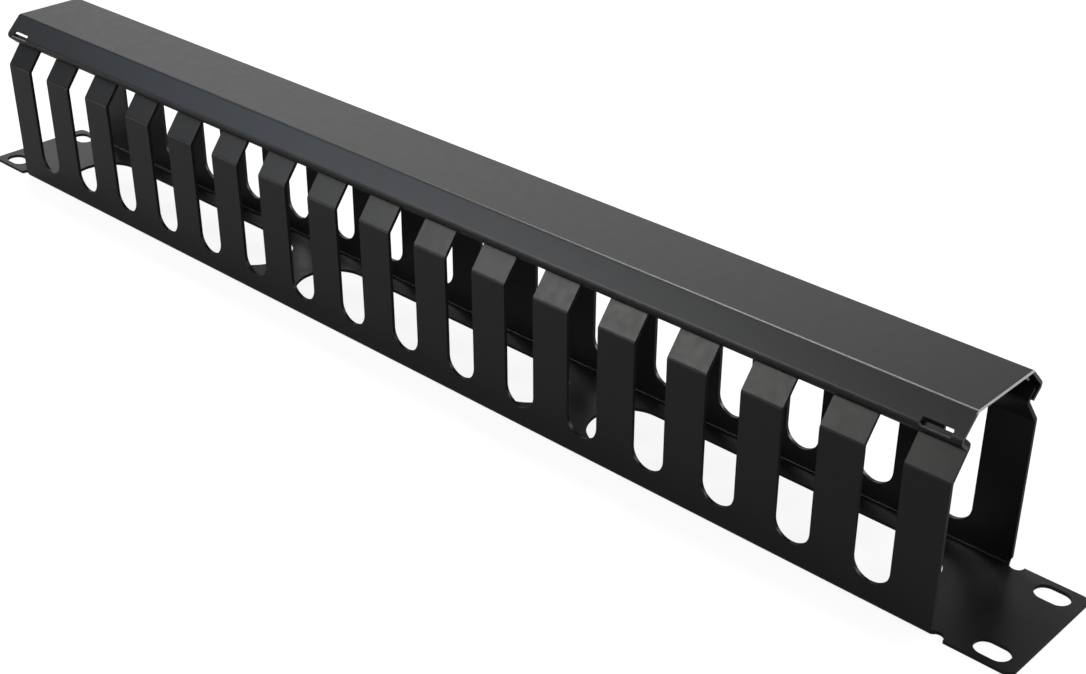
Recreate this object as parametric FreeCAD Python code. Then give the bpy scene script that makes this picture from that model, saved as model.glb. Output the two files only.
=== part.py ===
import FreeCAD, Part

# A one-unit (1U) horizontal cable manager for 19-inch racks: a finger duct folded from one
# steel sheet, and a clip-on cover folded from a second sheet.
#
# Axes: X runs along the rack's width, Y across the one-unit height, Z out from the back plate
# that bolts to the rails. The origin is the middle of the back plate's rear face.

import os
from math import cos, radians, sin, tan

# ---------------------------------------------------------------- driving dimensions, in mm
# Back plate and rack ears
panel_length = 482.6            # over both ears: the 19-inch panel width
panel_width = 42.8              # of the ears, and over the walls' outer faces at their foot
wall_flare = 0.25               # how far each wall leans out from its foot to its first fold
overall_height = 67.8           # back plate's rear face to the cover's top
ear_corner_radius = 2.5
rack_hole_spacing_x = 465.1     # EIA-310 rail holes, left to right
rack_hole_spacing_y = 31.75     # first to third hole of one rack unit
rack_slot_width = 7.0
rack_slot_length = 10.8

# Duct sheet
duct_sheet = 1.2
duct_bend_radius = 0.8          # inside radius of every fold
finger_count = 17
finger_width = 14.1
finger_pitch = 26.25
slot_floor = 7.6                # lowest point of the round-bottomed slots between fingers
lean_rise = 8.3                 # height of the leaning part, first fold to waist
finger_corner_radius = 1.5      # eased corners at the fingertips

# Lightening slots along the back plate
base_slot_count = 3
base_slot_length = 125.9
base_slot_width = 26.6
base_slot_web = 16.5            # sheet left between two of them

# Relief where each wall's fold ends beside an ear
relief_radius = 2.2
relief_reach = 1.6              # from the wall's end to the relief's centre
relief_inset = 0.2              # from the wall's outer face to the relief's centre

# Cover sheet
cover_sheet = 1.0
cover_bend_radius = 0.8
flange_angle = 45.0             # flange below the horizontal
lip_angle = 42.5                # lip, and the finger's hook inside it, below the horizontal
flange_length = 10.1
lip_length = 5.6
cover_inset = 0.8               # cover's widest line inside the walls' outer faces
cover_overhang = 0.5            # cover's ends beyond the walls' ends
release_slot_length = 9.6       # pry slot over each end finger, across the flange's lower fold
release_slot_from_end = 3.2     # cover's end to the slot
release_slot_up_flange = 3.3
release_slot_down_lip = 0.9
release_slot_corner = 0.8

# Clearances where the cover clips on
clip_gap = 0.3                  # lip's inner face to the fingertip
tip_gap = 0.8                   # fingertip's end to the flange's inner face
waist_run = 0.8                 # how far the waist lies below the lip's edge

# ---------------------------------------------------------------- derived sizes
slot_width = finger_pitch - finger_width
slot_count = finger_count - 1
duct_length = slot_count * finger_pitch + finger_width
duct_half = duct_length / 2
wall_face = panel_width / 2
duct_outer_radius = duct_bend_radius + duct_sheet

# Directions in the (y, z) section, for the side at positive y
flange_slope = radians(flange_angle)
up_flange = (-cos(flange_slope), sin(flange_slope))
out_of_flange = (sin(flange_slope), cos(flange_slope))
lip_slope = radians(lip_angle)
down_lip = (-cos(lip_slope), -sin(lip_slope))
up_lip = (cos(lip_slope), sin(lip_slope))
out_of_lip = (sin(lip_slope), -cos(lip_slope))


def moved(point, direction, distance):
    """The point, moved by a distance along a direction of the section."""
    return (point[0] + distance * direction[0], point[1] + distance * direction[1])


# Outer corners of the cover, from its top fold down to the lip's edge
first_fold_face = wall_face + wall_flare
flange_foot = (first_fold_face - cover_inset, overall_height - flange_length * sin(flange_slope))
flange_top = moved(flange_foot, up_flange, flange_length)
lip_edge = moved(flange_foot, down_lip, lip_length)

# Outer corners of a finger. Its hook lies inside the lip, and ends short of the flange.
waist = moved(moved(lip_edge, out_of_lip, -cover_sheet - clip_gap), down_lip, waist_run)
to_flange = sum((foot - at) * out for foot, at, out in zip(flange_foot, waist, out_of_flange))
fold_angle = flange_slope + lip_slope
room = to_flange - cover_sheet - tip_gap - max(0, duct_sheet * cos(fold_angle))
hook_tip = moved(waist, up_lip, room / sin(fold_angle))
first_fold = (first_fold_face, waist[1] - lean_rise)


def mirrored(corners):
    """The corners on the side at negative y, in the opposite order."""
    return [(-y, z) for y, z in reversed(corners)]


# ---------------------------------------------------------------- sheet-metal sections
def unit(start, end):
    """Unit direction from one point of the section to another."""
    length = ((end[0] - start[0]) ** 2 + (end[1] - start[1]) ** 2) ** 0.5
    return ((end[0] - start[0]) / length, (end[1] - start[1]) / length)


def offset_corners(corners, distance):
    """The open outline moved sideways by a distance, to its left when that is positive."""
    result = []
    for i, corner in enumerate(corners):
        before = unit(corners[i - 1], corner) if i > 0 else None
        after = unit(corner, corners[i + 1]) if i < len(corners) - 1 else None
        before = before or after
        after = after or before
        normal = (-before[1] - after[1], before[0] + after[0])
        share = 1 + before[0] * after[0] + before[1] * after[1]
        result.append(moved(corner, normal, distance / share))
    return result


def rounded_edges(corners, radii):
    """Lines and tangent arcs along an open outline, in the plane x = 0."""
    at = [FreeCAD.Vector(0, y, z) for y, z in corners]
    edges = []
    start = at[0]
    for i in range(1, len(at) - 1):
        back = (at[i - 1] - at[i]).normalize()
        ahead = (at[i + 1] - at[i]).normalize()
        half_angle = back.getAngle(ahead) / 2
        reach = radii[i - 1] / tan(half_angle)
        centre = at[i] + (back + ahead).normalize() * (radii[i - 1] / sin(half_angle))
        middle = centre + (at[i] - centre).normalize() * radii[i - 1]
        arc_start = at[i] + back * reach
        arc_end = at[i] + ahead * reach
        edges.append(Part.makeLine(start, arc_start))
        edges.append(Part.Arc(arc_start, middle, arc_end).toShape())
        start = arc_end
    edges.append(Part.makeLine(start, at[-1]))
    return edges


def folded_sheet(outer, sheet, inside_radius, inner_side, length):
    """A sheet folded along the outer corners, centred on x = 0.

    inner_side is 1 where the sheet's thickness lies to the left of the outline, -1 to the right.
    """
    inner = offset_corners(outer, inner_side * sheet)
    outer_radii = []
    inner_radii = []
    for i in range(1, len(outer) - 1):
        before = unit(outer[i - 1], outer[i])
        after = unit(outer[i], outer[i + 1])
        turn = before[0] * after[1] - before[1] * after[0]
        outline_is_inside = turn * inner_side < 0
        outer_radii.append(inside_radius + (0 if outline_is_inside else sheet))
        inner_radii.append(inside_radius + (sheet if outline_is_inside else 0))
    edges = rounded_edges(outer, outer_radii) + rounded_edges(inner, inner_radii)
    for one, other in ((outer[0], inner[0]), (outer[-1], inner[-1])):
        edges.append(Part.makeLine(FreeCAD.Vector(0, *one), FreeCAD.Vector(0, *other)))
    section = Part.Face(Part.Wire(Part.__sortEdges__(edges)))
    section.translate(FreeCAD.Vector(-length / 2, 0, 0))
    return section.extrude(FreeCAD.Vector(length, 0, 0))


# ---------------------------------------------------------------- cutting tools
def block(x_range, y_range, z_range):
    """A box between two values on each axis."""
    low = FreeCAD.Vector(x_range[0], y_range[0], z_range[0])
    size = (x_range[1] - x_range[0], y_range[1] - y_range[0], z_range[1] - z_range[0])
    return Part.makeBox(*size, low)


def long_slot(x, y, length, width, depth):
    """An upright cutter with round ends, its length along X, from below z = 0 to the depth."""
    radius = width / 2
    reach = length / 2 - radius
    up = FreeCAD.Vector(0, 0, 1)
    cutter = block((x - reach, x + reach), (y - radius, y + radius), (-depth, depth))
    for end in (-reach, reach):
        foot = FreeCAD.Vector(x + end, y, -depth)
        cutter = cutter.fuse(Part.makeCylinder(radius, 2 * depth, foot, up))
    return cutter.removeSplitter()


def finger_slot(x):
    """A round-bottomed cutter through both walls, open at the fingertips."""
    radius = slot_width / 2
    centre_z = slot_floor + radius
    across = FreeCAD.Vector(0, 1, 0)
    start = FreeCAD.Vector(x, -panel_width, centre_z)
    sides = (x - radius, x + radius)
    upper = block(sides, (-panel_width, panel_width), (centre_z, overall_height))
    return upper.fuse(Part.makeCylinder(radius, 2 * panel_width, start, across)).removeSplitter()


def centred_places(count, pitch):
    """Evenly spaced places, symmetric about zero."""
    return [(i - (count - 1) / 2) * pitch for i in range(count)]


def corners_at_tips(shape):
    """The short edges through the sheet at every fingertip's two corners."""
    tip_y, tip_z = hook_tip
    found = []
    for edge in shape.Edges:
        middle = edge.CenterOfMass
        across_tip = abs(edge.Length - duct_sheet) < 0.01
        near_tip = abs(abs(middle.y) - tip_y) < duct_sheet and abs(middle.z - tip_z) < duct_sheet
        if across_tip and near_tip:
            found.append(edge)
    return found


# ---------------------------------------------------------------- finger duct
def rack_ear(side):
    """Flat ear that carries on from the back plate, with its outer corners rounded."""
    ends = sorted((side * duct_half, side * panel_length / 2))
    ear = block(ends, (-wall_face, wall_face), (0, duct_sheet))
    outer_edges = [
        edge for edge in ear.Edges
        if abs(edge.CenterOfMass.x - side * panel_length / 2) < 0.01
        and abs(edge.CenterOfMass.z - duct_sheet / 2) < 0.01
        and abs(edge.CenterOfMass.y) > wall_face / 2
    ]
    return ear.makeFillet(ear_corner_radius, outer_edges)


def finger_duct():
    """Channel with two rows of hooked fingers and two slotted ears, folded from one sheet."""
    finger_side = [hook_tip, waist, first_fold, (wall_face, 0.0)]
    outer = finger_side + mirrored(finger_side)
    duct = folded_sheet(outer, duct_sheet, duct_bend_radius, -1, duct_length)
    duct = duct.fuse([rack_ear(-1), rack_ear(1)]).removeSplitter()
    cutters = [finger_slot(x) for x in centred_places(slot_count, finger_pitch)]
    base_pitch = base_slot_length + base_slot_web
    for x in centred_places(base_slot_count, base_pitch):
        cutters.append(long_slot(x, 0, base_slot_length, base_slot_width, 2 * duct_sheet))
    for x in centred_places(2, rack_hole_spacing_x):
        for y in centred_places(2, rack_hole_spacing_y):
            cutters.append(long_slot(x, y, rack_slot_length, rack_slot_width, 2 * duct_sheet))
    for x in centred_places(2, duct_length + 2 * relief_reach):
        for y in centred_places(2, panel_width - 2 * relief_inset):
            foot = FreeCAD.Vector(x, y, -duct_sheet)
            height = duct_sheet + duct_outer_radius
            cutters.append(Part.makeCylinder(relief_radius, height, foot))
    duct = duct.cut(cutters).removeSplitter()
    return duct.makeFillet(finger_corner_radius, corners_at_tips(duct))


# ---------------------------------------------------------------- clip-on cover
def runs_between(edge, one, other):
    """Whether an edge joins two points of the section, on either side."""
    ends = sorted((abs(vertex.Y), vertex.Z) for vertex in edge.Vertexes)
    wanted = sorted((one, other))
    return all(abs(a - b) < 0.001 for end, point in zip(ends, wanted) for a, b in zip(end, point))


def release_slot(x, side):
    """Cutter across the flange's lower fold, over an end finger."""
    corner = flange_foot
    low_lip = moved(corner, down_lip, release_slot_down_lip)
    up_on_flange = moved(corner, up_flange, release_slot_up_flange)
    outside = moved(up_on_flange, out_of_flange, cover_sheet)
    beyond = moved(low_lip, out_of_lip, cover_sheet)
    corner_beyond = moved(moved(corner, out_of_lip, cover_sheet), out_of_flange, cover_sheet)
    behind_flange = moved(up_on_flange, out_of_flange, -cover_sheet - tip_gap / 2)
    inner_corner = moved(moved(corner, out_of_lip, -cover_sheet), out_of_flange, -cover_sheet)
    behind_lip = moved(low_lip, out_of_lip, -cover_sheet - clip_gap / 2)
    outline = [beyond, corner_beyond, outside, behind_flange, inner_corner, behind_lip]
    start = x - release_slot_length / 2
    points = [FreeCAD.Vector(start, side * y, z) for y, z in outline + outline[:1]]
    cutter = Part.Face(Part.makePolygon(points)).extrude(FreeCAD.Vector(release_slot_length, 0, 0))
    corners = [edge for edge in cutter.Edges if runs_between(edge, outside, behind_flange)]
    return cutter.makeFillet(release_slot_corner, corners)


def duct_cover():
    """Cover with sloping flanges, whose lips turn in under the fingertips."""
    cover_side = [lip_edge, flange_foot, flange_top]
    outer = cover_side + mirrored(cover_side)
    cover_length = duct_length + 2 * cover_overhang
    cover = folded_sheet(outer, cover_sheet, cover_bend_radius, 1, cover_length)
    slot_spacing = cover_length - 2 * release_slot_from_end - release_slot_length
    cutters = [release_slot(x, side) for x in centred_places(2, slot_spacing) for side in (-1, 1)]
    return cover.cut(cutters).removeSplitter()


# ---------------------------------------------------------------- parts
os.makedirs("parts", exist_ok=True)
for name, shape in (("finger_duct", finger_duct()), ("duct_cover", duct_cover())):
    solid = shape.Solids[0] if len(shape.Solids) == 1 else shape
    box = solid.BoundBox
    print(name, "solids", len(shape.Solids), "valid", solid.isValid(), "volume", round(solid.Volume))
    print("  x", round(box.XMin, 2), round(box.XMax, 2), "y", round(box.YMin, 2), round(box.YMax, 2),
          "z", round(box.ZMin, 2), round(box.ZMax, 2))
    solid.exportStep("parts/%s.step" % name)
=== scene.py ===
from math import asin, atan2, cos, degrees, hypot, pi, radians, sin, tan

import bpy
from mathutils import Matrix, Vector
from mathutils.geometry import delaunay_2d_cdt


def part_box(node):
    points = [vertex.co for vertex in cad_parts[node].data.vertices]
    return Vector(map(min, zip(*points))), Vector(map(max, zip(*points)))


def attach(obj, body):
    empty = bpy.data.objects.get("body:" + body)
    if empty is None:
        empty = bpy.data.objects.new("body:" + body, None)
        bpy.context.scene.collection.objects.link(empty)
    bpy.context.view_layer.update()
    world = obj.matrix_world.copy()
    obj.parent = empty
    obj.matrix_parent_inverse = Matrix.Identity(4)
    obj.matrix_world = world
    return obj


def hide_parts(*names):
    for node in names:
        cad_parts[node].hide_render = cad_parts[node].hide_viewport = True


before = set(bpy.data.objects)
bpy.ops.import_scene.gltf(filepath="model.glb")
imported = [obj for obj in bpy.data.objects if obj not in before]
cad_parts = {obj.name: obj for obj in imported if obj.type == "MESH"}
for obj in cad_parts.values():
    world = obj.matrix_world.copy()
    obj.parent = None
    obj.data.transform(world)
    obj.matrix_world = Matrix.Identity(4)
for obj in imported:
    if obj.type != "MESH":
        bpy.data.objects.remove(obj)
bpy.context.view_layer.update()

# A one-unit horizontal cable manager for 19-inch racks: a finger duct folded from one steel
# sheet, and the clip-on cover folded from a second one, both powder coated black.
#
# Sizes in capitals are in millimetres, as a sheet-metal drawing gives them, unless a comment
# says otherwise. mm() turns them to metres.


def mm(value):
    """Millimetres to metres."""
    return value / 1000


def add_object(name, data):
    """A new object at the origin, linked into the scene."""
    item = bpy.data.objects.new(name, data)
    bpy.context.scene.collection.objects.link(item)
    return item


# ---------------------------------------------------------------- sizes of the object
duct_low, duct_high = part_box("finger_duct")
cover_low, cover_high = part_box("duct_cover")

PANEL_LENGTH = (duct_high.x - duct_low.x) * 1000
WALL_FLARE = 0.25                # how far each wall leans out, from its foot to its first fold
PANEL_WIDTH = (duct_high.y - duct_low.y) * 1000 - 2 * WALL_FLARE
OVERALL_HEIGHT = cover_high.z * 1000
COVER_LENGTH = (cover_high.x - cover_low.x) * 1000
COVER_OVERHANG = 0.5
WALL_FACE = PANEL_WIDTH / 2
DUCT_HALF = COVER_LENGTH / 2 - COVER_OVERHANG

EAR_CORNER_RADIUS = 2.5
RACK_HOLE_SPACING = (465.1, 31.75)
RACK_SLOT = (10.8, 7.0)          # length, width
DUCT_SHEET = 1.2
BEND_RADIUS = 0.8                # inside every fold of both sheets
FINGER_COUNT = 17
FINGER_WIDTH = 14.1
FINGER_PITCH = 26.25
SLOT_FLOOR = 7.6
LEAN_RISE = 8.3
FINGERTIP_RADIUS = 1.5
BASE_SLOT_COUNT = 3
BASE_SLOT = (125.9, 26.6)        # length, width
BASE_SLOT_WEB = 16.5
RELIEF_RADIUS = 2.2
RELIEF_REACH = 1.6
RELIEF_INSET = 0.2

COVER_SHEET = 1.0
FLANGE_ANGLE = 45.0              # both angles below the horizontal
LIP_ANGLE = 42.5
FLANGE_LENGTH = 10.1
LIP_LENGTH = 5.6
COVER_INSET = 0.8
RELEASE_SLOT_LENGTH = 9.6
RELEASE_SLOT_FROM_END = 3.2
RELEASE_SLOT_UP_FLANGE = 3.3
RELEASE_SLOT_DOWN_LIP = 0.9
RELEASE_SLOT_RADIUS = 0.8
CLIP_GAP = 0.3
TIP_GAP = 0.8
WAIST_RUN = 0.8

EDGE_ROUND = 0.22                # how much the powder rounds a sheared edge, where it runs thin
EDGE_SEGMENTS = 3
SHARP_EDGE = 50                  # degrees: an edge this sharp or sharper is eased

# How finely rounds are cut, in straight steps
FOLD_STEPS = 8                   # rows of faces round a square fold
FEWEST_FOLD_STEPS = 4
CORNER_STEPS = 6                 # fingertips and ear corners
FINGER_SLOT_STEPS = 24
RELIEF_WALL_STEPS = 8
RELIEF_FOOT_STEPS = 14
RACK_SLOT_STEPS = 20
BASE_SLOT_STEPS = 32
RELEASE_SLOT_STEPS = 5
SECTION_ROUND_POINTS = 64        # points on each round of the line that sheets are folded along

# Along its two ends the cover's top edge is painted pale grey: a painted highlight
HIGHLIGHT_FROM_END = 0.25           # where the painted highlight starts
HIGHLIGHT_FULLY = 0.1               # nearer the end than this, the painted highlight is at full strength
HIGHLIGHT_BLEND = 0.1               # above and below the top's underside, where the painted highlight fades

# Distances that only join things up
SAME_PLACE = 0.001               # outline points this near are one point
WELD_DISTANCE = 0.005
PAST_THE_FOLD = 0.01             # so that the walls' very ends are folded too
TOUCHING = 1e-5
WHOLE_FACES = 4                  # the kind of result asked of the routine that cuts flat sheets


# ---------------------------------------------------------------- camera
# Seen from the front right and above, as a long lens sees it from 0.6 m.
camera_data = bpy.data.cameras.new("camera")
camera_data.sensor_fit = "HORIZONTAL"
camera_data.sensor_width = 36.0
camera_data.lens = 57.082
camera_data.shift_x = -0.00894
camera_data.shift_y = 0.00490
camera_data.clip_start = 0.01
camera_data.clip_end = 50.0
camera = add_object("camera", camera_data)
camera.location = (0.38720, -0.35407, 0.29404)
camera.rotation_euler = (radians(60.3911), radians(-0.2867), radians(42.8981))
bpy.context.scene.camera = camera
bpy.context.scene.view_settings.view_transform = "Standard"


# ---------------------------------------------------------------- nodes and colours
def linear(hex_colour):
    """An sRGB hex colour such as "#202020" as linear red, green, blue and alpha."""
    channels = [int(hex_colour[i:i + 2], 16) / 255 for i in (1, 3, 5)]
    return [c / 12.92 if c <= 0.04045 else ((c + 0.055) / 1.055) ** 2.4
            for c in channels] + [1.0]


def add_node(tree, kind, settings=None, inputs=None):
    """Add a node, set its properties, and set or link its inputs by name or number."""
    node = tree.nodes.new(kind)
    for name, value in (settings or {}).items():
        setattr(node, name, value)
    for key, value in (inputs or {}).items():
        if isinstance(value, bpy.types.NodeSocket):
            tree.links.new(value, node.inputs[key])
        else:
            node.inputs[key].default_value = value
    return node


def new_material(name):
    """An empty node material: its tree, and the material."""
    material = bpy.data.materials.new(name)
    material.use_nodes = True
    material.node_tree.nodes.clear()
    return material.node_tree, material


# ---------------------------------------------------------------- materials
def black_powder_coat():
    """Satin black polyester powder, sprayed on folded steel and baked.

    The melted grains leave a fine texture, and the film flows into a faint orange peel.
    """
    tree, material = new_material("satin_black_powder_coat")
    place = add_node(tree, "ShaderNodeTexCoord").outputs["Object"]
    # Baked grains are about 0.15 mm across; drawn at 0.45 mm so that they show.
    grain = add_node(tree, "ShaderNodeTexNoise", inputs={
        "Vector": place, "Scale": 1 / mm(0.45), "Detail": 2.0, "Roughness": 0.6})
    # Orange peel: soft waves 3 mm apart.
    peel = add_node(tree, "ShaderNodeTexNoise", inputs={
        "Vector": place, "Scale": 1 / mm(3.0), "Detail": 1.0})
    # The film is a little thicker here and there, over some 50 mm.
    film = add_node(tree, "ShaderNodeTexNoise", inputs={
        "Vector": place, "Scale": 1 / mm(50), "Detail": 3.0})
    colour = add_node(tree, "ShaderNodeMix", {"data_type": "RGBA"}, {
        "Factor": film.outputs["Fac"], "A": linear("#0a0a0b"), "B": linear("#0e0e0f")})
    gloss = add_node(tree, "ShaderNodeMapRange", inputs={
        "Value": peel.outputs["Fac"], "From Min": 0.3, "From Max": 0.7,
        "To Min": 0.37, "To Max": 0.41})
    waves = add_node(tree, "ShaderNodeBump", inputs={
        "Height": peel.outputs["Fac"], "Strength": 0.08, "Distance": mm(0.01)})
    texture = add_node(tree, "ShaderNodeBump", inputs={
        "Height": grain.outputs["Fac"], "Strength": 0.35, "Distance": mm(0.012),
        "Normal": waves.outputs["Normal"]})
    coat = add_node(tree, "ShaderNodeBsdfPrincipled", inputs={
        "Base Color": colour.outputs[2], "Roughness": gloss.outputs["Result"],
        "Specular IOR Level": 0.45, "Normal": texture.outputs["Normal"]})
    add_node(tree, "ShaderNodeOutputMaterial", inputs={"Surface": coat.outputs[0]})
    return material


def thin_coat_and_painted_highlight_on_edges():
    """The same powder over a cut edge, where it runs thin and the steel greys it; its paler
    grey is also a painted highlight.

    Along the two ends of the cover's top, the edge is painted pale grey: a painted highlight.
    """
    tree, material = new_material("thin_coat_and_painted_highlight_on_cut_edges")
    place = add_node(tree, "ShaderNodeTexCoord").outputs["Object"]
    # The coat is thinner, and the painted highlight brighter, along some stretches of an edge,
    # about 12 mm long.
    stretch = add_node(tree, "ShaderNodeTexNoise", inputs={
        "Vector": place, "Scale": 1 / mm(12), "Detail": 2.0})
    # Paler grey for the eased edges: partly a thinner coat, partly a painted highlight
    thin = add_node(tree, "ShaderNodeMix", {"data_type": "RGBA"}, {
        "Factor": stretch.outputs["Fac"], "A": linear("#303032"), "B": linear("#444447")})
    # Pale grey for the cover's top edge at its two ends: a painted highlight
    end_highlight = add_node(tree, "ShaderNodeMix", {"data_type": "RGBA"}, {
        "Factor": stretch.outputs["Fac"], "A": linear("#a4a5a6"), "B": linear("#c0c1c2")})
    at = add_node(tree, "ShaderNodeSeparateXYZ", inputs={0: place})
    far = add_node(tree, "ShaderNodeMath", {"operation": "ABSOLUTE"}, {0: at.outputs["X"]})
    at_end = add_node(tree, "ShaderNodeMapRange", inputs={
        "Value": far.outputs[0], "From Min": mm(COVER_LENGTH / 2 - HIGHLIGHT_FROM_END),
        "From Max": mm(COVER_LENGTH / 2 - HIGHLIGHT_FULLY)})
    on_top = add_node(tree, "ShaderNodeMapRange", inputs={
        "Value": at.outputs["Z"],
        "From Min": mm(OVERALL_HEIGHT - COVER_SHEET - HIGHLIGHT_BLEND),
        "From Max": mm(OVERALL_HEIGHT - COVER_SHEET + HIGHLIGHT_BLEND)})
    # Where the painted highlight lies: near the cover's two ends, along its top
    highlight_mask = add_node(tree, "ShaderNodeMath", {"operation": "MULTIPLY"}, {
        0: at_end.outputs["Result"], 1: on_top.outputs["Result"]})
    colour = add_node(tree, "ShaderNodeMix", {"data_type": "RGBA"}, {
        "Factor": highlight_mask.outputs[0], "A": thin.outputs[2], "B": end_highlight.outputs[2]})
    coat = add_node(tree, "ShaderNodeBsdfPrincipled", inputs={
        "Base Color": colour.outputs[2], "Roughness": 0.34, "Specular IOR Level": 0.6})
    add_node(tree, "ShaderNodeOutputMaterial", inputs={"Surface": coat.outputs[0]})
    return material


coat = black_powder_coat()
# Paler finish for the edges: a thinner coat with a painted highlight
edge_coat_and_painted_highlight = thin_coat_and_painted_highlight_on_edges()


def shown_white(tree, in_shine):
    """1 seen by the camera or through a clear surface, in_shine in gloss, 0 for soft light."""
    rays = add_node(tree, "ShaderNodeLightPath").outputs
    shine = add_node(tree, "ShaderNodeMath", {"operation": "MULTIPLY"}, {
        0: rays["Is Glossy Ray"], 1: in_shine})
    shown = add_node(tree, "ShaderNodeMath", {"operation": "MAXIMUM"}, {
        0: rays["Is Camera Ray"], 1: shine.outputs[0]})
    return add_node(tree, "ShaderNodeMath", {"operation": "MAXIMUM"}, {
        0: shown.outputs[0], 1: rays["Is Transmission Ray"]}).outputs[0]


# ---------------------------------------------------------------- sheet-metal sections
def moved(point, direction, distance):
    """The point, moved by a distance along a direction of the section."""
    return (point[0] + distance * direction[0], point[1] + distance * direction[1])


def unit(start, end):
    """Unit direction from one point of the section to another."""
    length = hypot(end[0] - start[0], end[1] - start[1])
    return ((end[0] - start[0]) / length, (end[1] - start[1]) / length)


def middle_of_sheet(outer, distance):
    """The open outline moved by a distance to its left, where the sheet's middle lies."""
    result = []
    for i, corner in enumerate(outer):
        before = unit(outer[i - 1], corner) if i > 0 else unit(corner, outer[1])
        after = unit(corner, outer[i + 1]) if i < len(outer) - 1 else before
        normal = (-before[1] - after[1], before[0] + after[0])
        share = 1 + before[0] * after[0] + before[1] * after[1]
        result.append(moved(corner, normal, distance / share))
    return result


def unrolled(corners, radius):
    """Where each fold starts and ends along the flat sheet, and the sheet's half-width.

    Each fold is given as its start, its end and its angle in radians.
    """
    folds = []
    travelled = 0.0
    spent = 0.0
    for i in range(1, len(corners) - 1):
        before = unit(corners[i - 1], corners[i])
        after = unit(corners[i], corners[i + 1])
        turn = abs(atan2(before[0] * after[1] - before[1] * after[0],
                         before[0] * after[0] + before[1] * after[1]))
        reach = radius * tan(turn / 2)
        run = hypot(corners[i][0] - corners[i - 1][0], corners[i][1] - corners[i - 1][1])
        start = travelled + run - spent - reach
        folds.append((start, start + radius * turn, turn))
        travelled = start + radius * turn
        spent = reach
    run = hypot(corners[-1][0] - corners[-2][0], corners[-1][1] - corners[-2][1])
    return folds, travelled + run - spent


def fold_rows(folds):
    """Places across the flat sheet where a row of faces ends, to follow each fold's round."""
    rows = []
    for start, end, turn in folds:
        steps = max(FEWEST_FOLD_STEPS, round(FOLD_STEPS * turn / (pi / 2)))
        rows += [start + (end - start) * k / steps for k in range(steps + 1)]
    return rows


# Directions in the (y, z) section, for the side at positive y
flange_slope = radians(FLANGE_ANGLE)
up_flange = (-cos(flange_slope), sin(flange_slope))
out_of_flange = (sin(flange_slope), cos(flange_slope))
lip_slope = radians(LIP_ANGLE)
down_lip = (-cos(lip_slope), -sin(lip_slope))
up_lip = (cos(lip_slope), sin(lip_slope))
out_of_lip = (sin(lip_slope), -cos(lip_slope))

# Outer corners of the cover, then of a finger, whose hook lies inside the cover's lip
flange_foot = (WALL_FACE + WALL_FLARE - COVER_INSET,
               OVERALL_HEIGHT - FLANGE_LENGTH * sin(flange_slope))
flange_top = moved(flange_foot, up_flange, FLANGE_LENGTH)
lip_edge = moved(flange_foot, down_lip, LIP_LENGTH)
waist = moved(moved(lip_edge, out_of_lip, -COVER_SHEET - CLIP_GAP), down_lip, WAIST_RUN)
to_flange = sum((foot - at) * out for foot, at, out in zip(flange_foot, waist, out_of_flange))
fold_angle = flange_slope + lip_slope
room = to_flange - COVER_SHEET - TIP_GAP - max(0, DUCT_SHEET * cos(fold_angle))
hook_tip = moved(waist, up_lip, room / sin(fold_angle))
first_fold = (WALL_FACE + WALL_FLARE, waist[1] - LEAN_RISE)

duct_section = middle_of_sheet(
    [(0, 0), (WALL_FACE, 0), first_fold, waist, hook_tip], DUCT_SHEET / 2)
duct_fold_radius = BEND_RADIUS + DUCT_SHEET / 2
duct_folds, duct_flat_half = unrolled(duct_section, duct_fold_radius)

cover_section = middle_of_sheet(
    [(0, OVERALL_HEIGHT), flange_top, flange_foot, lip_edge], -COVER_SHEET / 2)
cover_fold_radius = BEND_RADIUS + COVER_SHEET / 2
cover_folds, cover_flat_half = unrolled(cover_section, cover_fold_radius)


# ---------------------------------------------------------------- flat patterns
def arc(centre, radius, start, end, steps):
    """Points along an arc, in degrees."""
    angles = [radians(start + (end - start) * k / steps) for k in range(steps + 1)]
    return [(centre[0] + radius * cos(a), centre[1] + radius * sin(a)) for a in angles]


def long_hole(x, y, length, width, steps):
    """Outline of a hole with round ends, its length along x."""
    reach = length / 2 - width / 2
    return (arc((x + reach, y), width / 2, -90, 90, steps)
            + arc((x - reach, y), width / 2, 90, 270, steps))


def rounded_hole(x_range, y_range, radius, steps):
    """Outline of a rectangular hole with rounded corners."""
    (x0, x1), (y0, y1) = x_range, y_range
    return (arc((x1 - radius, y1 - radius), radius, 0, 90, steps)
            + arc((x0 + radius, y1 - radius), radius, 90, 180, steps)
            + arc((x0 + radius, y0 + radius), radius, 180, 270, steps)
            + arc((x1 - radius, y0 + radius), radius, 270, 360, steps))


def flat_sheet(name, outlines, height, rows=(), reach=0.0):
    """A flat mesh, cut along fold rows. An outline comes first, then the holes in it.

    outlines is a list of such lists. height is where the sheet's middle lies, in mm.
    """
    places, faces = [], []
    for outline, *holes in outlines:
        corners = [Vector(p) for p in outline]
        rings = [list(range(len(corners)))]
        for hole in holes:
            rings.append(list(range(len(corners), len(corners) + len(hole))))
            corners += [Vector(p) for p in hole]
        cuts = []
        for row in rows:
            cuts.append((len(corners), len(corners) + 1))
            corners += [Vector((-reach, row)), Vector((reach, row))]
        points, _, cut_faces, _, _, lies_in = delaunay_2d_cdt(
            corners, cuts, rings, WHOLE_FACES, TOUCHING)
        # Ring 0 is the outline. A face that lies in another ring too is in a hole.
        kept = [face for face, inside in zip(cut_faces, lies_in) if inside == [0]]
        used = sorted({i for face in kept for i in face})
        number = {i: len(places) + k for k, i in enumerate(used)}
        faces += [[number[i] for i in face] for face in kept]
        places += [(mm(points[i].x), mm(points[i].y), mm(height)) for i in used]
    mesh = bpy.data.meshes.new(name)
    mesh.from_pydata(places, [], faces)
    mesh.validate()
    for finish in (coat, edge_coat_and_painted_highlight):
        mesh.materials.append(finish)
    return add_object(name, mesh)


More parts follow.
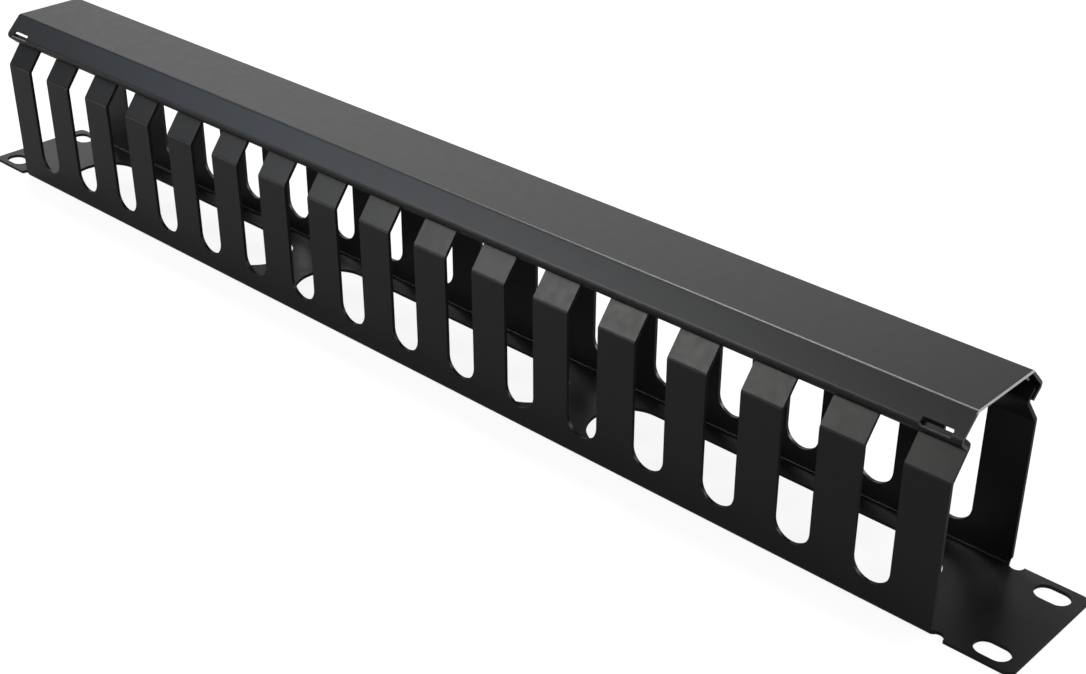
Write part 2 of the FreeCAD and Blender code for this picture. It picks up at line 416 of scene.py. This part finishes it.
plate_edge = duct_folds[0][0]                  # where the plate ends and the walls' fold starts
slot_width = FINGER_PITCH - FINGER_WIDTH
slot_count = FINGER_COUNT - 1
slot_centre = (duct_folds[0][1] + SLOT_FLOOR + slot_width / 2
               - (DUCT_SHEET / 2 + duct_fold_radius))
relief_centre = (DUCT_HALF + RELIEF_REACH, WALL_FACE - RELIEF_INSET)


def one_slot():
    """The wall from the middle of one finger to the middle of the next, laid flat."""
    half, side, tip = FINGER_PITCH / 2, slot_width / 2, FINGERTIP_RADIUS
    outline = [(-half, plate_edge), (half, plate_edge), (half, duct_flat_half)]
    outline += arc((side + tip, duct_flat_half - tip), tip, 90, 180, CORNER_STEPS)
    outline += arc((0, slot_centre), side, 0, -180, FINGER_SLOT_STEPS)
    outline += arc((-side - tip, duct_flat_half - tip), tip, 0, 90, CORNER_STEPS)
    outline += [(-half, duct_flat_half)]
    return flat_sheet("one_slot_flat", [[outline]], DUCT_SHEET / 2,
                      fold_rows(duct_folds), half + 1)


# Where the relief's round meets the wall's end, above and below
relief_meets = degrees(
    atan2((RELIEF_RADIUS ** 2 - RELIEF_REACH ** 2) ** 0.5, -RELIEF_REACH))
ear_meets = degrees(asin(RELIEF_INSET / RELIEF_RADIUS))


def wall_ends():
    """The outer halves of the two end fingers, down to the relief beside each ear."""
    centre = slot_count / 2 * FINGER_PITCH
    tip = FINGERTIP_RADIUS
    outline = [(centre, duct_flat_half), (centre, plate_edge), (DUCT_HALF, plate_edge)]
    outline += arc(relief_centre, RELIEF_RADIUS, -relief_meets, -360 + relief_meets,
                   RELIEF_WALL_STEPS)
    outline += arc((DUCT_HALF - tip, duct_flat_half - tip), tip, 0, 90, CORNER_STEPS)
    mirrored = [(-x, y) for x, y in reversed(outline)]
    return flat_sheet("wall_ends_flat", [[outline], [mirrored]], DUCT_SHEET / 2,
                      fold_rows(duct_folds), PANEL_LENGTH)


def back_plate():
    """The back plate and its ears, with their slots, relief rounds and eased corners."""
    half, wide, ease = PANEL_LENGTH / 2, WALL_FACE, EAR_CORNER_RADIUS
    quarter = [(i * FINGER_PITCH, plate_edge) for i in range(slot_count // 2 + 1)]
    quarter += [(DUCT_HALF, plate_edge)]
    foot = arc(relief_centre, RELIEF_RADIUS, -relief_meets, ear_meets, RELIEF_FOOT_STEPS)
    quarter += [(DUCT_HALF, row) for row in fold_rows(duct_folds)
                if plate_edge < row < foot[0][1]]
    quarter += foot
    quarter += arc((half - ease, wide - ease), ease, 90, 0, CORNER_STEPS)
    upper_left = [(-x, y) for x, y in reversed(quarter)]
    lower = [(x, -y) for x, y in reversed(quarter)]
    lower_left = [(-x, -y) for x, y in quarter]
    holes = []
    for i in range(BASE_SLOT_COUNT):
        x = (i - (BASE_SLOT_COUNT - 1) / 2) * (BASE_SLOT[0] + BASE_SLOT_WEB)
        holes.append(long_hole(x, 0, *BASE_SLOT, BASE_SLOT_STEPS))
    for x in (-RACK_HOLE_SPACING[0] / 2, RACK_HOLE_SPACING[0] / 2):
        for y in (-RACK_HOLE_SPACING[1] / 2, RACK_HOLE_SPACING[1] / 2):
            holes.append(long_hole(x, y, *RACK_SLOT, RACK_SLOT_STEPS))
    # Where two quarters meet they share a point, which is kept once
    outline = []
    for x, y in quarter + lower + lower_left + upper_left:
        if not outline or hypot(x - outline[-1][0], y - outline[-1][1]) > SAME_PLACE:
            outline.append((x, y))
    if hypot(outline[0][0] - outline[-1][0], outline[0][1] - outline[-1][1]) < SAME_PLACE:
        outline.pop()
    outline.reverse()
    return flat_sheet("back_plate_flat", [[outline, *holes]], DUCT_SHEET / 2)


def cover_blank():
    """The cover laid flat, with a release slot across each lower fold near each end."""
    half = COVER_LENGTH / 2
    start, end, turn = cover_folds[1]
    # From the outer corner to where the round starts, and the same along the sheet's middle
    outer_reach = (BEND_RADIUS + COVER_SHEET) * tan(turn / 2)
    on_flange = start + outer_reach - RELEASE_SLOT_UP_FLANGE
    short_of_lip = (outer_reach - RELEASE_SLOT_DOWN_LIP) / cover_fold_radius
    on_lip = end - cover_fold_radius * asin(short_of_lip)
    holes = []
    centre = half - RELEASE_SLOT_FROM_END - RELEASE_SLOT_LENGTH / 2
    for x in (-centre, centre):
        span = (x - RELEASE_SLOT_LENGTH / 2, x + RELEASE_SLOT_LENGTH / 2)
        for sides in ((on_flange, on_lip), (-on_lip, -on_flange)):
            holes.append(rounded_hole(span, sides, RELEASE_SLOT_RADIUS, RELEASE_SLOT_STEPS))
    wide = cover_flat_half
    rows = fold_rows(cover_folds)
    outline = [(-half, -wide), (half, -wide), (half, wide), (-half, wide)]
    return flat_sheet("cover_flat", [[outline, *holes]], OVERALL_HEIGHT - COVER_SHEET / 2,
                      [-row for row in reversed(rows)] + rows, half + 1)


# ---------------------------------------------------------------- geometry node trees
def new_geometry_tree(name, inputs):
    """A geometry tree with named inputs: the tree, its input sockets, their identifiers."""
    tree = bpy.data.node_groups.new(name, "GeometryNodeTree")
    tree.interface.new_socket("Geometry", in_out="OUTPUT", socket_type="NodeSocketGeometry")
    identifiers = {}
    for label, kind in [("Geometry", "NodeSocketGeometry")] + inputs:
        socket = tree.interface.new_socket(label, in_out="INPUT", socket_type=kind)
        identifiers[label] = socket.identifier
    return tree, add_node(tree, "NodeGroupInput").outputs, identifiers


def finish_tree(tree, geometry, finish):
    """End the tree in real geometry that carries its finish."""
    real = add_node(tree, "GeometryNodeRealizeInstances", inputs={"Geometry": geometry})
    smooth = add_node(tree, "GeometryNodeSetShadeSmooth", inputs={"Geometry": real.outputs[0]})
    coated = add_node(tree, "GeometryNodeSetMaterial", inputs={
        "Geometry": smooth.outputs[0], "Material": finish})
    add_node(tree, "NodeGroupOutput", inputs={"Geometry": coated.outputs[0]})


def finger_rows_tree():
    """Repeats one slot along the wall, adds the wall's ends, turns a copy round to the other
    side, and welds both to the back plate.
    """
    tree, given, ids = new_geometry_tree("two rows of fingers", [
        ("Slots per wall", "NodeSocketInt"), ("Finger pitch", "NodeSocketFloat"),
        ("Wall ends", "NodeSocketObject"), ("Back plate", "NodeSocketObject"),
        ("Weld distance", "NodeSocketFloat"), ("Finish", "NodeSocketMaterial")])
    gaps = add_node(tree, "ShaderNodeMath", {"operation": "SUBTRACT"}, {
        0: given["Slots per wall"], 1: 1.0})
    reach = add_node(tree, "ShaderNodeMath", {"operation": "MULTIPLY"}, {
        0: gaps.outputs[0], 1: given["Finger pitch"]})
    first = add_node(tree, "ShaderNodeMath", {"operation": "MULTIPLY"}, {
        0: reach.outputs[0], 1: -0.5})
    start = add_node(tree, "ShaderNodeCombineXYZ", inputs={"X": first.outputs[0]})
    step = add_node(tree, "ShaderNodeCombineXYZ", inputs={"X": given["Finger pitch"]})
    line = add_node(tree, "GeometryNodeMeshLine", inputs={
        "Count": given["Slots per wall"], "Start Location": start.outputs[0],
        "Offset": step.outputs[0]})
    slots = add_node(tree, "GeometryNodeInstanceOnPoints", inputs={
        "Points": line.outputs[0], "Instance": given["Geometry"]})
    ends = add_node(tree, "GeometryNodeObjectInfo", inputs={"Object": given["Wall ends"]})
    plate = add_node(tree, "GeometryNodeObjectInfo", inputs={"Object": given["Back plate"]})
    wall = add_node(tree, "GeometryNodeJoinGeometry")
    tree.links.new(slots.outputs[0], wall.inputs[0])
    tree.links.new(ends.outputs["Geometry"], wall.inputs[0])
    real = add_node(tree, "GeometryNodeRealizeInstances", inputs={"Geometry": wall.outputs[0]})
    other = add_node(tree, "GeometryNodeTransform", inputs={
        "Geometry": real.outputs[0], "Rotation": (0.0, 0.0, pi)})
    sheet = add_node(tree, "GeometryNodeJoinGeometry")
    for part in (real.outputs[0], other.outputs[0], plate.outputs["Geometry"]):
        tree.links.new(part, sheet.inputs[0])
    welded = add_node(tree, "GeometryNodeMergeByDistance", inputs={
        "Geometry": sheet.outputs[0], "Distance": given["Weld distance"]})
    finish_tree(tree, welded.outputs[0], given["Finish"])
    return tree, ids


def press_brake_tree():
    """Folds a flat sheet along a section.

    A point's distance from the middle line becomes its distance along the section's rounded
    line. Past the end of the folds the sheet stays flat.
    """
    tree, given, ids = new_geometry_tree("press brake", [
        ("Section", "NodeSocketObject"), ("Fold radius", "NodeSocketFloat"),
        ("Fold reach", "NodeSocketFloat"), ("Finish", "NodeSocketMaterial")])
    section = add_node(tree, "GeometryNodeObjectInfo", inputs={"Object": given["Section"]})
    line = add_node(tree, "GeometryNodeFilletCurve", {"mode": "POLY"}, {
        "Curve": section.outputs["Geometry"], "Radius": given["Fold radius"],
        "Count": SECTION_ROUND_POINTS})
    place = add_node(tree, "GeometryNodeInputPosition")
    flat = add_node(tree, "ShaderNodeSeparateXYZ", inputs={0: place.outputs[0]})
    along = add_node(tree, "ShaderNodeMath", {"operation": "ABSOLUTE"}, {0: flat.outputs["Y"]})
    side = add_node(tree, "ShaderNodeMath", {"operation": "SIGN"}, {0: flat.outputs["Y"]})
    sample = add_node(
        tree, "GeometryNodeSampleCurve", {"mode": "LENGTH", "use_all_curves": True},
        {"Curves": line.outputs[0], "Length": along.outputs[0]})
    folded = add_node(tree, "ShaderNodeSeparateXYZ", inputs={0: sample.outputs["Position"]})
    across = add_node(tree, "ShaderNodeMath", {"operation": "MULTIPLY"}, {
        0: folded.outputs["Y"], 1: side.outputs[0]})
    point = add_node(tree, "ShaderNodeCombineXYZ", inputs={
        "X": flat.outputs["X"], "Y": across.outputs[0], "Z": folded.outputs["Z"]})
    far = add_node(tree, "ShaderNodeMath", {"operation": "ABSOLUTE"}, {0: flat.outputs["X"]})
    near = add_node(
        tree, "FunctionNodeCompare", {"data_type": "FLOAT", "operation": "LESS_EQUAL"},
        {0: far.outputs[0], 1: given["Fold reach"]})
    bent = add_node(tree, "GeometryNodeSetPosition", inputs={
        "Geometry": given["Geometry"], "Selection": near.outputs[0],
        "Position": point.outputs[0]})
    finish_tree(tree, bent.outputs[0], given["Finish"])
    return tree, ids


def section_line(name, corners):
    """The section's middle line as a curve of straight runs, in the plane x = 0."""
    curve = bpy.data.curves.new(name, "CURVE")
    curve.dimensions = "3D"
    spline = curve.splines.new("POLY")
    spline.points.add(len(corners) - 1)
    for point, (y, z) in zip(spline.points, corners):
        point.co = (0.0, mm(y), mm(z), 1.0)
    return add_object(name, curve)


def run_tree(target, tree_and_ids, values):
    """Add a geometry tree to a piece, with its inputs set by their identifiers."""
    tree, identifiers = tree_and_ids
    modifier = target.modifiers.new(tree.name, "NODES")
    modifier.node_group = tree
    for label, value in values.items():
        modifier[identifiers[label]] = value


def formed_sheet(name, blank, thickness, pale_cut=False):
    """Give the folded blank its thickness and eased edges, and keep it as a plain mesh.

    The eased edges carry the thin coat and its painted highlight. So do the cut faces between
    them, if pale_cut is set.
    """
    wall = blank.modifiers.new("sheet thickness", "SOLIDIFY")
    wall.thickness = mm(thickness)
    wall.offset = 0.0
    wall.use_even_offset = True
    # With pale_cut, the cut faces take the paler edge finish too: partly a painted highlight
    wall.material_offset_rim = 1 if pale_cut else 0
    ease = blank.modifiers.new("eased edges", "BEVEL")
    ease.width = mm(EDGE_ROUND)
    ease.segments = EDGE_SEGMENTS
    ease.limit_method = "ANGLE"
    ease.angle_limit = radians(SHARP_EDGE)
    ease.use_clamp_overlap = True
    # The eased edges take the paler edge finish, which is partly a painted highlight
    ease.material = 1
    flat = blank.modifiers.new("flat faces shade flat", "WEIGHTED_NORMAL")
    flat.weight = 50
    flat.keep_sharp = False
    bpy.context.view_layer.update()
    shape = blank.evaluated_get(bpy.context.evaluated_depsgraph_get())
    mesh = bpy.data.meshes.new_from_object(shape)
    mesh.name = name
    return add_object(name, mesh)


# ---------------------------------------------------------------- the two sheets
press_brake = press_brake_tree()
duct_line = section_line("duct_section", duct_section)
cover_line = section_line("cover_section", cover_section)

duct_blank = one_slot()
ends_flat = wall_ends()
plate_flat = back_plate()
run_tree(duct_blank, finger_rows_tree(), {
    "Slots per wall": slot_count, "Finger pitch": mm(FINGER_PITCH), "Wall ends": ends_flat,
    "Back plate": plate_flat, "Weld distance": mm(WELD_DISTANCE), "Finish": coat})
run_tree(duct_blank, press_brake, {
    "Section": duct_line, "Fold radius": mm(duct_fold_radius),
    "Fold reach": mm(DUCT_HALF + PAST_THE_FOLD), "Finish": coat})
finger_duct = formed_sheet("folded_finger_duct", duct_blank, DUCT_SHEET)

cover_flat = cover_blank()
run_tree(cover_flat, press_brake, {
    "Section": cover_line, "Fold radius": mm(cover_fold_radius),
    "Fold reach": mm(COVER_LENGTH), "Finish": coat})
# The cover's cut faces are painted the paler edge grey: partly a painted highlight
duct_cover = formed_sheet("folded_clip_cover", cover_flat, COVER_SHEET, pale_cut=True)

for spare in (duct_blank, ends_flat, plate_flat, cover_flat, duct_line, cover_line):
    bpy.data.objects.remove(spare)

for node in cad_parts.values():
    node.data.materials.clear()
    node.data.materials.append(coat)

for piece, body, node in ((finger_duct, "duct", "finger_duct"),
                          (duct_cover, "cover", "duct_cover")):
    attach(piece, body)
    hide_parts(node)


# ---------------------------------------------------------------- floor, world and lamps
# How bright the white surroundings look in the paint's shine, where 1 is as bright as they are.
# It is kept low, because in full they turn the satin black grey.
SHINE_OF_WHITE = 0.07
SOFT_LIGHT_OF_WORLD = 0.8        # how bright the world is as soft light, where 1 is white
FLOOR_SHOWN_WHITE = 0.87         # the share of the floor that shows plain white; the rest takes
                                 # the object's shadow
FLOOR_REACH = 6                  # metres from the middle to each side
FLOOR_DROP = 0.03                # clear of the plate, so that the two don't lie in one plane


def pale_floor():
    """Plain white studio floor: it shows white, and keeps the object's soft shadow."""
    tree, material = new_material("matt_white_floor")
    place = add_node(tree, "ShaderNodeTexCoord").outputs["Object"]
    mottle = add_node(tree, "ShaderNodeTexNoise", inputs={
        "Vector": place, "Scale": 1 / mm(180), "Detail": 2.0})
    colour = add_node(tree, "ShaderNodeMix", {"data_type": "RGBA"}, {
        "Factor": mottle.outputs["Fac"], "A": linear("#f2f2f2"), "B": linear("#f5f5f5")})
    paint = add_node(tree, "ShaderNodeBsdfDiffuse", inputs={"Color": colour.outputs[2]})
    glow = add_node(tree, "ShaderNodeEmission", inputs={
        "Color": linear("#ffffff"), "Strength": shown_white(tree, SHINE_OF_WHITE)})
    both = add_node(tree, "ShaderNodeMixShader", inputs={
        "Fac": FLOOR_SHOWN_WHITE, 1: paint.outputs[0], 2: glow.outputs[0]})
    add_node(tree, "ShaderNodeOutputMaterial", inputs={"Surface": both.outputs[0]})
    return material


floor_mesh = bpy.data.meshes.new("floor")
floor_mesh.from_pydata([(FLOOR_REACH * x, FLOOR_REACH * y, -mm(FLOOR_DROP))
                        for x, y in ((-1, -1), (1, -1), (1, 1), (-1, 1))], [], [(0, 1, 2, 3)])
floor_mesh.materials.append(pale_floor())
floor = add_object("floor", floor_mesh)

world = bpy.data.worlds.new("studio")
world.use_nodes = True
world.node_tree.nodes.clear()
rays = add_node(world.node_tree, "ShaderNodeLightPath").outputs
soft = add_node(world.node_tree, "ShaderNodeMath", {"operation": "MULTIPLY"}, {
    0: rays["Is Diffuse Ray"], 1: SOFT_LIGHT_OF_WORLD})
strength = add_node(world.node_tree, "ShaderNodeMath", {"operation": "MAXIMUM"}, {
    0: shown_white(world.node_tree, SHINE_OF_WHITE), 1: soft.outputs[0]})
backdrop = add_node(world.node_tree, "ShaderNodeBackground", inputs={
    "Color": linear("#ffffff"), "Strength": strength.outputs[0]})
add_node(world.node_tree, "ShaderNodeOutputWorld", inputs={"Surface": backdrop.outputs[0]})
bpy.context.scene.world = world


def lamp_at(name, place, direction, size, strength, colour="#ffffff"):
    """A rectangular lamp, hidden from the camera, that faces against a direction.

    size is its width and height in metres. strength is how bright its face is: 1 is white.
    """
    lamp = bpy.data.lights.new(name, "AREA")
    lamp.shape = "RECTANGLE"
    lamp.size, lamp.size_y = size
    lamp.energy = pi * size[0] * size[1] * strength
    lamp.color = linear(colour)[:3]
    box = add_object(name, lamp)
    box.location = place
    box.rotation_euler = (-direction).to_track_quat("-Z", "Y").to_euler()
    box.visible_camera = False


def softbox(name, around, above, away, size, strength, colour="#ffffff"):
    """A soft lamp that faces the object's middle.

    around is its bearing in degrees from +X towards +Y, above its height as an angle in
    degrees, and away its distance in metres.
    """
    level = cos(radians(above))
    direction = Vector((level * cos(radians(around)), level * sin(radians(around)),
                        sin(radians(above))))
    lamp_at(name, direction * away, direction, size, strength, colour)


def strip_light(name, x_range, y, z, width, strength):
    """A long thin lamp that runs along X, and faces the duct's long axis. Sizes in metres."""
    middle = Vector((sum(x_range) / 2, y, z))
    direction = (middle - Vector((middle.x, 0.0, 0.05))).normalized()
    lamp_at(name, middle, direction, (x_range[1] - x_range[0], width), strength)


softbox("back_softbox", 131, 25, 1.5, (1.5, 0.6), 1.25)
softbox("front_left_softbox", 235, 36, 1.3, (0.46, 0.40), 8.5, "#fffffa")
softbox("left_softbox", 207, 39, 1.3, (0.5, 0.34), 2.5, "#d4e5ff")
softbox("back_right_softbox", 54, 21, 1.2, (0.4, 0.3), 14.0)
softbox("front_right_softbox", 333, 40, 1.4, (0.7, 0.5), 2.6)
softbox("far_right_softbox", 30, 42, 1.4, (0.7, 0.5), 2.6)
strip_light("overhead_strip", (-0.78, -0.15), 0.27, 1.2, 0.22, 36.0)
strip_light("low_front_strip", (-1.6, -0.35), -1.0, 0.07, 0.08, 7.0)
